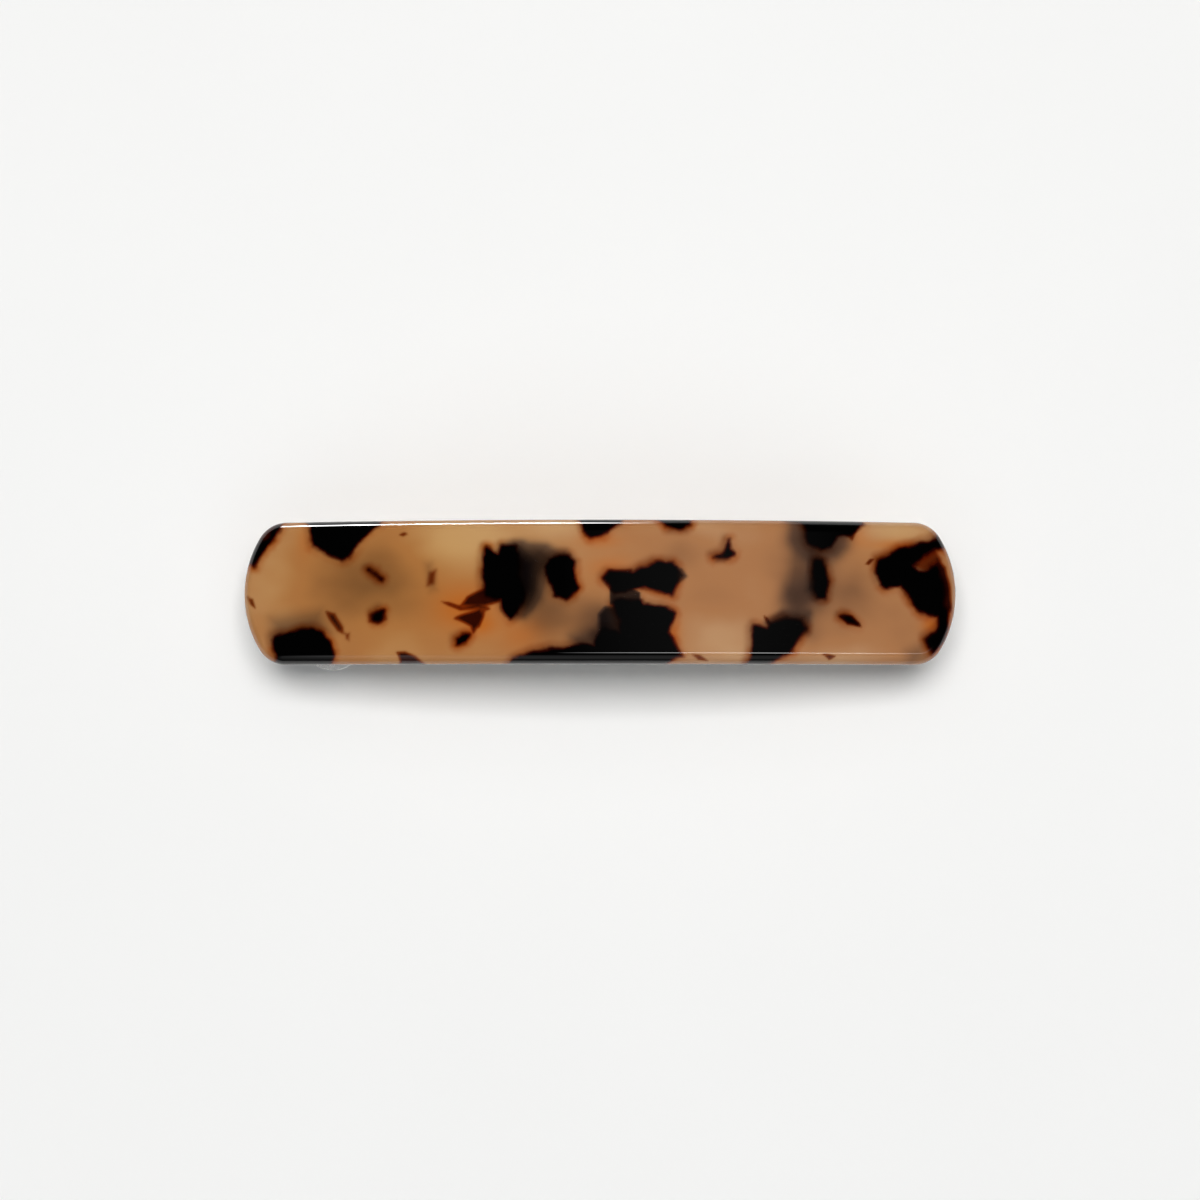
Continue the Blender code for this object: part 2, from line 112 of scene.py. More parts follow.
def rounded(corners):
    """The outline of a polygon listed anticlockwise as (x, y, corner radius), with each corner an arc."""
    step = math.radians(9)
    found = []
    for i, (x, y, radius) in enumerate(corners):
        here = Vector((x, y))
        to_before = (Vector(corners[i - 1][:2]) - here).normalized()
        to_after = (Vector(corners[(i + 1) % len(corners)][:2]) - here).normalized()
        turn = math.pi - to_before.angle(to_after)
        side = 1 if to_before.x * to_after.y - to_before.y * to_after.x < 0 else -1
        start = here + to_before * radius * math.tan(turn / 2)
        centre = start + side * radius * Vector((to_before.y, -to_before.x))
        first = math.atan2(start.y - centre.y, start.x - centre.x)
        steps = max(2, math.ceil(turn / step))
        for k in range(steps + 1):
            angle = first + side * turn * k / steps
            found.append((*(centre + radius * unit(angle)), *(side * unit(angle))))
    return found


def unit(angle):
    return Vector((math.cos(angle), math.sin(angle)))


def mirrored(half):
    """All the corners of an outline from those of its +Y half, listed from +X to -X."""
    return half + [(x, -y, radius) for x, y, radius in half[::-1]]


def hole(outline):
    return [(x, y, -nx, -ny) for x, y, nx, ny in outline[::-1]]


def round_hole(x, y, radius):
    steps = 32
    found = []
    for i in range(steps):
        across, along = math.cos(math.tau * i / steps), math.sin(math.tau * i / steps)
        found.append((x + radius * across, y + radius * along, across, along))
    return hole(found)


def slot(low, high, radius):
    (x0, y0), (x1, y1) = low, high
    return hole(rounded([(x1, y0, radius), (x1, y1, radius), (x0, y1, radius), (x0, y0, radius)]))


# ---------------------------------------------------------------- sheet builder


def rim_rings(thickness, upper, lower, steps):
    """Rings of a rounded rim from the lower face to the upper: (inset, height, tilt of the normal)."""
    turns = [math.pi / 2 * i / steps for i in range(steps + 1)]
    rings = [(lower * (1 - math.cos(t)), -thickness + lower * (1 - math.sin(t)), -t) for t in turns[::-1]]
    return rings + [(upper * (1 - math.cos(t)), -upper * (1 - math.sin(t)), t) for t in turns]


def tilted(nx, ny, tilt):
    return Vector((nx * math.cos(tilt), ny * math.cos(tilt), math.sin(tilt)))


def slab(outlines, thickness, rounding, cuts_x=(), cuts_y=()):
    """A flat sheet with a rounded rim and its upper face at z = 0, cut at the given stations for bending.
    The first outline is the outside and the rest are holes. Each vertex keeps its normal in a layer."""
    mesh = bmesh.new()
    layer = mesh.verts.layers.float_vector.new("rest_normal")
    rims = ([], [])
    for outline in outlines:
        loops = []
        for inset, height, tilt in rim_rings(thickness, rounding, rounding, 3):
            places = [(x - nx * inset, y - ny * inset, height) for x, y, nx, ny in outline]
            loops.append([mesh.verts.new(place) for place in places])
            for vert, (_, _, nx, ny) in zip(loops[-1], outline):
                vert[layer] = tilted(nx, ny, tilt)
        for below, above in zip(loops, loops[1:]):
            for i in range(len(below)):
                mesh.faces.new((below[i - 1], below[i], above[i], above[i - 1]))
        for rim, loop in zip(rims, (loops[0], loops[-1])):
            rim += [mesh.edges.get((loop[i - 1], loop[i])) for i in range(len(loop))]
    for rim, facing in zip(rims, (-1, 1)):
        filled = bmesh.ops.triangle_fill(mesh, edges=rim, use_beauty=True, normal=(0, 0, facing))
        faces = [item for item in filled["geom"] if isinstance(item, bmesh.types.BMFace)]
        bmesh.ops.reverse_faces(mesh, faces=[face for face in faces if face.normal.z * facing < 0])
    for axis, stations in (((1, 0, 0), cuts_x), ((0, 1, 0), cuts_y)):
        for station in stations:
            cut(mesh, axis, station)
    return mesh


def cut(mesh, axis, station, keep_above=False):
    """Cuts the faces at a station along an axis, and can drop what is below it and close the cut."""
    everything = mesh.verts[:] + mesh.edges[:] + mesh.faces[:]
    made = bmesh.ops.bisect_plane(
        mesh,
        geom=everything,
        dist=1e-7,
        plane_co=Vector(axis) * station,
        plane_no=axis,
        clear_inner=keep_above,
    )
    if keep_above:
        open_edges = [item for item in made["geom_cut"] if isinstance(item, bmesh.types.BMEdge)]
        bmesh.ops.edgeloop_fill(mesh, edges=open_edges)


def stations(low, high, step):
    count = max(1, round((high - low) / step))
    return [low + (high - low) * i / count for i in range(count + 1)]


def mirrored_stations(low, high, step):
    return [side * place for place in stations(low, high, step) for side in (-1, 1)]


def normal_after(bend, point, normal):
    """A face's direction after the bend has moved its point, from the bend's own gradient."""
    small = 1e-6
    moved = []
    for axis in range(3):
        shift = Vector((0, 0, 0))
        shift[axis] = small
        moved.append((Vector(bend(point + shift)) - Vector(bend(point - shift))) / (2 * small))
    return (Matrix(moved).inverted_safe() @ normal).normalized()


def finished(name, points, normals, faces, material, body, nodes, slot_name):
    """A smooth-shaded piece with its material, which rides on a body and stands for CAD nodes that it hides.
    The slot name is not used.
    """
    data = bpy.data.meshes.new(name)
    data.from_pydata(points, [], faces)
    data.shade_smooth()
    data.normals_split_custom_set_from_vertices(normals)
    data.materials.append(material)
    piece = bpy.data.objects.new(name, data)
    bpy.context.scene.collection.objects.link(piece)
    if body:
        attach(piece, body)
    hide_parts(*nodes)
    return piece


def bent(mesh, bend):
    """The points, normals and faces of a flat sheet after a bend. It frees the sheet."""
    layer = mesh.verts.layers.float_vector["rest_normal"]
    bmesh.ops.triangulate(mesh, faces=[face for face in mesh.faces if len(face.verts) > 4])
    mesh.verts.index_update()
    points = [tuple(bend(vert.co)) for vert in mesh.verts]
    normals = [normal_after(bend, vert.co, vert[layer].normalized()) for vert in mesh.verts]
    faces = [[vert.index for vert in face.verts] for face in mesh.faces]
    mesh.free()
    return points, normals, faces


# ---------------------------------------------------------------- bending along a path


def walk(path, distance, start, heading):
    """Place and heading after a walked distance. Heading 0 is towards +Y, a quarter turn towards -Z.
    The path is a list of runs (length, turn): straight where turn is 0, else an arc with that turn."""
    place = Vector(start)
    for i, (length, turn) in enumerate(path):
        step = distance if i == len(path) - 1 else min(distance, length)
        swept = turn * step / length
        if turn:
            radius = length / turn
            forward, drop = radius * math.sin(swept), radius * (1 - math.cos(swept))
        else:
            forward, drop = step, 0.0
        place.x += forward * math.cos(heading) - drop * math.sin(heading)
        place.y -= forward * math.sin(heading) + drop * math.cos(heading)
        heading += swept
        distance -= step
        if distance <= 0:
            break
    return place, heading


def on_path(path, distance, height, start=(0.0, 0.0), heading=0.0):
    """The (y, z) of a point that lies at a height above the path's line, after the walked distance."""
    place, heading = walk(path, distance, start, heading)
    return place.x + height * math.sin(heading), place.y + height * math.cos(heading)


def first_bend(path):
    """The walked distances at which the path's first bend starts and ends."""
    return path[0][0], path[0][0] + path[1][0]


# ---------------------------------------------------------------- material nodes


class Shading:
    """Short calls that add and link the shader nodes of one material. Places are in millimetres."""

    def __init__(self, name):
        self.material = bpy.data.materials.new(name)
        self.material.use_nodes = True
        self.nodes = self.material.node_tree.nodes
        self.shader = self.nodes["Principled BSDF"]
        metres = self.nodes.new("ShaderNodeTexCoord").outputs["Object"]
        self.place = self.vector("MULTIPLY", metres, (1 / MM,) * 3)

    def put(self, value, socket):
        """Links a socket to another one, or sets it to a plain value."""
        if isinstance(value, bpy.types.NodeSocket):
            self.material.node_tree.links.new(value, socket)
        else:
            socket.default_value = value

    def vector(self, operation, first, second):
        node = self.nodes.new("ShaderNodeVectorMath")
        node.operation = operation
        self.put(first, node.inputs[0])
        self.put(second, node.inputs[1])
        return node.outputs["Vector"]

    def math(self, operation, first, second):
        node = self.nodes.new("ShaderNodeMath")
        node.operation = operation
        self.put(first, node.inputs[0])
        self.put(second, node.inputs[1])
        return node.outputs["Value"]

    def noise(self, stretch, detail=2.0, roughness=0.5, shift=(0.0, 0.0, 0.0)):
        """Noise with this many cells per millimetre along each axis."""
        node = self.nodes.new("ShaderNodeTexNoise")
        cells = self.vector("MULTIPLY", self.place, stretch)
        self.put(self.vector("ADD", cells, shift), node.inputs["Vector"])
        node.inputs["Scale"].default_value = 1.0
        node.inputs["Detail"].default_value = detail
        node.inputs["Roughness"].default_value = roughness
        return node.outputs["Fac"]

    def span(self, value, low, high, to_low=0.0, to_high=1.0):
        """Smoothly maps low..high to to_low..to_high, and holds the ends."""
        node = self.nodes.new("ShaderNodeMapRange")
        node.interpolation_type = "SMOOTHSTEP"
        for socket, number in zip(node.inputs, (value, low, high, to_low, to_high)):
            self.put(number, socket)
        return node.outputs["Result"]

    def mix(self, share, first, second, blend="MIX"):
        node = self.nodes.new("ShaderNodeMix")
        node.data_type = "RGBA"
        node.blend_type = blend
        for index, value in ((0, share), (6, first), (7, second)):
            self.put(value, node.inputs[index])
        return node.outputs[2]

    def darken(self, share, colour, red, green, blue):
        """Lets through only these parts of the colour where the share is 1."""
        return self.mix(share, colour, (red, green, blue, 1.0), "MULTIPLY")

    def attribute(self, name):
        node = self.nodes.new("ShaderNodeAttribute")
        node.attribute_name = name
        return node.outputs["Fac"]

    def bump(self, height, depth):
        """Relief that follows a height, where a height of 1 is this deep in millimetres."""
        node = self.nodes.new("ShaderNodeBump")
        node.inputs["Distance"].default_value = depth * MM
        self.put(height, node.inputs["Height"])
        self.put(node.outputs["Normal"], self.shader.inputs["Normal"])

    def set(self, **values):
        for name, value in values.items():
            self.put(value, self.shader.inputs[name.replace("_", " ")])


def paint(red, green, blue):
    """A linear colour from display values of 0 to 255."""
    shares = (red / 255, green / 255, blue / 255)
    return (*(((v + 0.055) / 1.055) ** 2.4 if v > 0.04 else v / 12.92 for v in shares), 1.0)


def make_metal(name, colour, worn, roughness, grain, depth):
    """Stamped sheet metal: rolling marks along X, handling scratches, and a faint uneven tarnish.
    The grain counts marks per millimetre, and the depth of their relief is in millimetres."""
    shading = Shading(name)
    clouds = shading.noise((0.22, 0.3, 0.3), 3.0, 0.55)
    rolled = shading.noise((0.25, grain, grain), 3.0, 0.6)
    scratches = shading.span(shading.noise((1.1, 9.0, 6.0), 1.0, 0.4, (3.0, 7.0, 1.0)), 0.66, 0.72)
    specks = shading.span(shading.noise((5.0, 5.0, 5.0), 2.0, 0.5, (11.0, 2.0, 5.0)), 0.68, 0.78)
    tone = shading.mix(shading.span(clouds, 0.35, 0.8, 0.0, 0.45), colour, worn)
    shading.set(
        Base_Color=shading.mix(shading.math("MULTIPLY", specks, 0.5), tone, worn),
        Metallic=1.0,
        Roughness=shading.math(
            "ADD",
            shading.span(clouds, 0.3, 0.7, roughness - 0.03, roughness + 0.03),
            shading.math("MULTIPLY", shading.math("ADD", scratches, rolled), 0.06),
        ),
    )
    relief = shading.math("SUBTRACT", rolled, shading.math("MULTIPLY", scratches, 0.6))
    shading.bump(relief, depth)
    return shading.material


# ---------------------------------------------------------------- tortoiseshell pattern
# Seen from above, in millimetres from the middle of the plate.

# Dark flakes with a clear edge
FLAKES = [
    [(-35.8, 8.0), (-36.0, 7.5), (-36.8, 7.1), (-37.0, 6.2), (-38.0, 5.6), (-38.8, 4.4),
     (-39.1, 3.3), (-38.8, 2.9), (-38.2, 3.9), (-37.1, 5.4), (-36.4, 6.6), (-35.4, 8.0)],
    [(-32.6, 8.4), (-32.1, 6.6), (-32.0, 5.3), (-30.4, 4.4), (-28.7, 3.7), (-28.0, 4.0),
     (-27.4, 4.9), (-26.0, 6.4), (-24.6, 7.4), (-23.6, 8.4)],
    [(-25.6, 2.45), (-24.9, 2.15), (-24.2, 1.45), (-24.6, 1.6), (-25.1, 1.95)],
    [(-35.6, -8.4), (-36.3, -6.6), (-36.6, -5.2), (-36.4, -4.9), (-34.2, -4.6), (-31.9, -4.0),
     (-31.0, -4.4), (-30.2, -5.5), (-29.8, -6.6), (-29.9, -8.4)],
    [(-24.2, -2.0), (-25.1, -2.5), (-25.0, -3.0), (-24.3, -3.0)],
    [(-12.5, 4.7), (-11.9, 4.5), (-11.2, 4.0), (-10.7, 4.9), (-9.3, 4.9), (-9.1, 3.0), (-9.0, 1.5),
     (-8.4, -0.2), (-9.2, -2.3), (-9.8, -2.9), (-10.5, -2.0), (-10.8, -0.7), (-12.6, -0.5),
     (-12.9, 1.6), (-12.7, 3.3)],
    [(-15.8, -5.9), (-15.8, -5.3), (-15.2, -5.0), (-14.5, -4.9), (-14.9, -5.5)],
    [(-6.0, 2.6), (-5.5, 3.4), (-4.4, 3.8), (-3.4, 3.8), (-3.0, 3.2), (-2.9, 1.6), (-2.5, 0.5),
     (-3.2, -0.3), (-3.8, -0.8), (-5.0, -0.4), (-5.2, 0.4), (-5.6, 1.4)],
    [(-1.8, 8.4), (-1.7, 6.7), (-1.0, 6.0), (0.2, 6.4), (1.4, 7.0), (2.4, 7.5), (3.0, 8.4)],
    [(6.7, 8.4), (7.4, 7.4), (8.8, 7.0), (9.8, 7.4), (10.3, 8.4)],
    [(0.5, 1.4), (1.0, 1.9), (3.6, 2.0), (5.0, 2.7), (6.1, 3.2), (8.0, 3.1), (8.4, 2.6), (8.3, 0.8),
     (8.0, -0.4), (6.8, -0.1), (5.0, 0.6), (3.8, 0.5), (1.9, 0.0)],
    [(14.2, 5.6), (14.3, 4.6), (14.7, 4.1), (14.2, 3.8), (12.6, 3.8), (13.9, 4.3)],
    [(1.5, -1.5), (1.7, -1.0), (4.5, -1.0), (4.8, -1.6), (7.2, -1.9), (8.2, -2.5), (7.7, -3.7),
     (7.4, -4.6), (8.2, -5.9), (8.9, -7.0), (8.0, -7.5), (7.0, -8.4), (-9.6, -8.4), (-9.3, -7.6),
     (-7.2, -6.8), (-5.2, -6.3), (-2.4, -6.1), (-0.6, -6.0), (-0.3, -5.0), (0.5, -4.3), (2.4, -4.6),
     (2.2, -3.2), (1.8, -2.0)],
    [(16.9, -4.3), (17.2, -3.8), (18.6, -4.3), (19.0, -3.6), (20.4, -3.1), (22.2, -3.2),
     (22.8, -4.0), (21.7, -5.4), (21.0, -6.5), (19.8, -7.3), (18.4, -8.4), (16.6, -8.4),
     (16.9, -6.0)],
    [(22.7, 8.4), (23.1, 6.6), (23.2, 5.4), (24.5, 4.9), (25.5, 5.2), (26.4, 6.3), (27.5, 6.5),
     (28.3, 6.9), (29.2, 7.5), (29.8, 8.4)],
    [(23.9, 3.5), (24.6, 3.5), (25.0, 2.4), (25.3, 1.2), (24.9, -0.5), (24.2, -0.5), (24.0, 1.2)],
    [(26.8, -2.8), (27.6, -2.8), (28.7, -3.5), (27.6, -3.3)],
    [(30.9, 2.2), (31.1, 3.6), (32.7, 4.4), (34.3, 5.1), (37.0, 5.7), (38.0, 6.2), (38.9, 5.2),
     (37.8, 5.1), (36.5, 4.3), (35.0, 3.0), (35.6, 2.3), (36.8, 2.4), (37.9, 3.3), (38.1, 2.2),
     (38.5, 1.0), (38.5, -1.0), (39.0, -2.2), (39.1, -4.2), (38.5, -5.6), (37.4, -6.8),
     (36.7, -6.0), (36.5, -5.1), (37.6, -4.4), (38.1, -3.6), (38.1, -2.4), (36.9, -2.4),
     (35.6, -1.8), (34.3, -0.1), (33.7, 1.0), (31.9, 0.6), (31.3, 1.0)],
]

# Smoky layers, as (strength, softness of the edge, outline)
CLOUDS = [
    (0.97, 2.6, [(-10.2, 5.0), (-8.4, 5.2), (-7.0, 3.4), (-7.2, 0.4), (-8.0, -1.2), (-9.6, -2.4)]),
    (0.70, 3.2, [(-9.0, 5.4), (-5.8, 5.0), (-5.6, 2.0), (-6.6, -0.6), (-8.4, -2.4)]),
    (0.55, 2.2, [(-7.0, 4.9), (-3.6, 4.7), (-2.6, 3.4), (-4.0, 2.8), (-6.6, 2.6)]),
    (0.66, 3.6, [(-3.4, -5.2), (-0.6, -4.4), (0.6, -2.6), (1.4, -6.4), (-3.0, -6.8)]),
    (0.80, 0.6, [(-0.3, -5.0), (-0.1, -2.7), (0.7, -1.8), (2.0, -1.8), (2.6, -4.8)]),
    (0.80, 0.35, [(1.4, 0.3), (3.6, 0.2), (4.7, -0.4), (4.6, -1.5), (1.3, -1.5)]),
    (0.40, 2.4, [(7.0, 8.6), (10.2, 8.6), (9.4, 6.6), (7.4, 6.6)]),
    (0.90, 0.9, [(8.0, 3.0), (9.3, 2.6), (9.8, 1.9), (8.9, 1.1), (8.0, 0.8)]),
    (0.45, 1.2, [(12.8, 4.1), (14.4, 4.2), (13.9, 3.4), (13.0, 3.4)]),
    (0.70, 2.0, [(18.8, -3.6), (20.6, -2.4), (23.4, -2.6), (23.0, -4.4)]),
    (0.93, 4.6, [(22.2, 9.4), (22.2, 5.8), (23.2, 4.2), (25.6, 4.6), (26.8, 6.4), (27.0, 9.4)]),
    (0.52, 5.8, [(21.4, 5.6), (26.8, 5.0), (25.4, 3.6), (24.8, -0.8), (22.0, -0.4), (22.6, 3.0)]),
    (0.85, 1.6, [(23.3, 3.2), (24.4, 3.3), (25.0, 0.4), (24.2, -0.8), (23.2, 0.0)]),
    (0.42, 5.8, [(20.8, 0.4), (24.6, 0.0), (23.6, -4.8), (20.0, -3.6)]),
    (0.30, 4.8, [(20.4, 9.0), (22.4, 9.0), (21.8, 4.0), (22.0, -1.0), (20.8, -0.4), (21.2, 4.0)]),
    (0.25, 1.8, [(-19.4, 3.2), (-18.4, 3.2), (-18.0, 0.0), (-19.0, -0.2)]),
    (0.35, 3.0, [(-37.0, -2.6), (-31.0, -1.6), (-29.6, -4.4), (-36.4, -5.4)]),
    (0.30, 2.6, [(34.2, -6.0), (36.4, -5.4), (37.4, -7.4), (34.8, -8.4)]),
]

# Thin red-brown layers, as (strength, softness of the edge, outline)
STAINS = [
    (0.62, 1.2, [(-18.9, 2.1), (-18.2, 2.3), (-18.4, 0.9), (-19.1, 0.6)]),
    (0.90, 1.0, [(-30.4, -2.1), (-29.5, -2.3), (-28.6, -3.9), (-28.5, -4.5), (-29.1, -4.2),
                 (-29.8, -3.2)]),
    (0.55, 0.8, [(-28.2, -4.6), (-27.7, -4.6), (-27.8, -5.4), (-28.1, -5.2)]),
    (0.80, 1.0, [(-25.7, -2.5), (-24.0, -1.9), (-23.7, -2.9), (-24.6, -3.5), (-25.6, -3.2)]),
    (0.75, 0.7, [(-39.4, -0.5), (-38.9, -0.7), (-38.6, -1.6), (-39.1, -1.3)]),
    (0.95, 0.8, [(-22.4, -6.8), (-21.5, -6.7), (-20.4, -7.2), (-18.6, -8.6), (-21.8, -8.6)]),
    (0.80, 0.6, [(-22.1, 6.3), (-21.6, 6.6), (-21.3, 6.5), (-21.8, 6.2)]),
    (0.90, 0.8, [(-15.3, -1.5), (-14.6, -0.5), (-12.8, 0.2), (-11.0, -0.2), (-11.0, -1.0),
                 (-12.6, -1.7)]),
    (0.75, 0.6, [(-17.4, -1.0), (-16.6, -1.1), (-15.2, -1.7), (-13.4, -1.5), (-12.1, -2.0),
                 (-13.4, -1.9), (-15.4, -2.1), (-16.6, -1.5)]),
    (1.00, 0.9, [(-16.0, -2.9), (-14.8, -2.5), (-13.1, -2.0), (-12.9, -2.8), (-13.5, -3.7),
                 (-14.1, -4.6), (-14.3, -3.9), (-15.1, -3.4)]),
    (0.60, 0.7, [(-12.9, -2.0), (-12.1, -1.9), (-12.5, -2.3), (-13.4, -3.9), (-13.7, -3.8)]),
    (0.55, 1.0, [(34.9, 3.0), (37.6, 5.1), (38.4, 4.0), (36.8, 2.3)]),
    (0.95, 0.9, [(37.9, 3.9), (38.9, 3.0), (39.6, -2.0), (38.6, -2.6)]),
    (0.60, 0.8, [(-38.9, 5.9), (-37.2, 7.4), (-36.6, 6.4), (-38.2, 4.8)]),
    (0.85, 0.5, [(18.2, -2.7), (18.6, -3.0), (19.2, -4.0), (18.7, -3.9)]),
    (0.75, 0.5, [(29.5, 3.2), (30.0, 3.7), (30.5, 3.7), (29.9, 3.1)]),
    (0.80, 0.6, [(26.5, -2.7), (28.0, -2.6), (29.0, -3.7), (27.4, -3.6)]),
    (0.75, 0.6, [(10.2, -7.0), (11.0, -7.2), (12.1, -7.8), (11.0, -7.7)]),
    (0.85, 0.6, [(24.8, -6.9), (26.1, -7.2), (25.5, -7.6)]),
    (0.90, 0.8, [(27.0, 7.0), (28.6, 7.0), (28.1, 5.9)]),
    (0.75, 0.8, [(0.2, 1.5), (0.9, 2.3), (3.4, 2.4), (3.0, 0.0), (1.6, -0.4)]),
    (0.70, 0.8, [(7.4, -4.2), (8.6, -6.0), (9.4, -7.2), (7.6, -7.0)]),
]

# Broad changes of the amber, as (x, y, reach along x, reach along y, amount). The amount is above zero where
# it turns brown and below zero where it turns gold. The gold along the long edges and the brown in the
# middle are partly painted light, paler where light comes in at the plate's edges; the rest is the amber's
# own tone.
TONES_AND_EDGE_LIGHT = [
    (-29.0, -0.4, 6.0, 4.2, 0.55),
    (-23.0, 2.4, 5.0, 4.0, 0.55),
    (-6.0, -2.2, 3.5, 3.0, 0.85),
    (-0.4, -3.2, 2.2, 3.0, 0.75),
    (9.0, 4.4, 3.5, 3.0, 0.35),
    (12.5, 0.5, 5.0, 3.0, 0.15),
    (22.2, 1.5, 3.4, 7.5, 0.50),
    (27.8, 0.0, 3.6, 4.5, 0.60),
    (-37.5, 1.0, 5.0, 7.0, -0.30),
    (-16.0, 6.0, 7.0, 3.0, -0.65),
    (-5.0, 7.4, 5.0, 1.8, -0.55),
    (12.0, 7.0, 4.0, 2.5, -0.30),
    (13.0, -6.0, 5.0, 3.0, -0.40),
    (26.0, -7.4, 9.0, 1.6, -0.35),
    (33.0, 7.0, 5.0, 2.2, -0.75),
    (33.0, -3.5, 4.0, 3.0, 0.15),
    (-24.0, -6.4, 4.0, 3.0, -0.10),
]

# Where the amber turns from a rosy cream to a yellower tone, in the same form
ORANGES = [
    (-24.0, 1.0, 22.0, 14.0, 1.0),
    (34.0, 6.0, 6.0, 4.0, 0.5),
]

# Where the amber glows orange beside thin dark layers, in the same form
GLOWS = [
    (-15.0, -1.8, 3.4, 2.6, 1.0),
    (-8.6, -4.9, 2.4, 1.8, 0.5),
    (1.2, 2.6, 2.6, 1.4, 0.6),
    (8.0, -4.6, 0.9, 2.0, 0.8),
    (37.2, -3.6, 1.2, 1.0, 1.0),
    (33.6, 5.3, 3.4, 0.7, 0.8),
    (0.0, 5.6, 2.4, 0.8, 0.6),
    (28.6, 6.2, 1.6, 1.0, 0.5),
    (-33.0, 6.0, 0.9, 2.0, 0.4),
    (-13.0, -3.8, 1.6, 1.2, 0.6),
]

# How far the slanting layers move along X and Y for each millimetre of depth
LAYER_SLANT = (0.35, -0.22)
# Where the shade that each flake casts inside the plate is looked up, from the shaded point
SHADE_SHIFT = (0.45, -0.40)


def outline_distance(points, outline):
    """Distance of each point to a closed outline, negative inside it."""
    nearest = np.full(len(points), np.inf)
    inside = np.zeros(len(points), bool)
    for start, end in zip(outline, outline[1:] + outline[:1]):
        edge = np.subtract(end, start)
        offset = points - start
        share = np.clip(offset @ edge / (edge @ edge), 0, 1)
        nearest = np.minimum(nearest, np.linalg.norm(offset - share[:, None] * edge, axis=1))
        crossed = (points[:, 1] < start[1]) != (points[:, 1] < end[1])
        left = offset[:, 0] * edge[1] < offset[:, 1] * edge[0]
        inside ^= crossed & (left == (edge[1] > 0))
    return np.where(inside, -nearest, nearest)


def spots(points, places):
    """The sum of soft round spots, one for each place."""
    total = np.zeros(len(points))
    for x, y, reach_x, reach_y, amount in places:
        across, along = (points[:, 0] - x) / reach_x, (points[:, 1] - y) / reach_y
        total += amount * np.exp(-(across**2) - along**2)
    return total


def drift(plan, reach, cell):
    """Points moved by a smooth wave, so that straight outlines turn natural."""
    x, y = plan.T / cell
    return plan + reach * np.column_stack((
        np.sin(5.1 * y + 1.3 * x + 0.7) + 0.6 * np.sin(9.7 * y - 3.9 * x + 2.0),
        np.sin(4.7 * x - 1.7 * y + 4.1) + 0.6 * np.sin(10.3 * x + 4.3 * y + 1.1),
    ))


def flake_distance(plan):
    return np.minimum.reduce([outline_distance(plan, outline) for outline in FLAKES])


def veil(plan, layers):
    """How much of the amber the layers hide, from 0 to 1."""
    clear = np.ones(len(plan))
    for strength, softness, outline in layers:
        share = np.clip(0.5 - outline_distance(plan, outline) / softness, 0, 1)
        clear *= 1 - strength * share * share * (3 - 2 * share)
    return 1 - clear


def shell_layers(points):
    """The pattern's layers at points in metres, each a smooth value that the material sharpens."""
    x, y, z = np.array(points).T / MM
    depth = CROWN / MM - x**2 / (2 * PLATE_RADIUS / MM) - z
    plan = np.column_stack((x + LAYER_SLANT[0] * depth, y + LAYER_SLANT[1] * depth))
    return {
        "flake": flake_distance(drift(plan, 0.07, 5.0)),
        "shade": flake_distance(plan + SHADE_SHIFT),
        "cloud": veil(drift(plan, 0.22, 16.0), CLOUDS),
        "stain": veil(drift(plan, 0.08, 5.0), STAINS),
        "tone": spots(plan, TONES_AND_EDGE_LIGHT),
        "orange": spots(plan, ORANGES),
        "glow": spots(plan, GLOWS),
    }


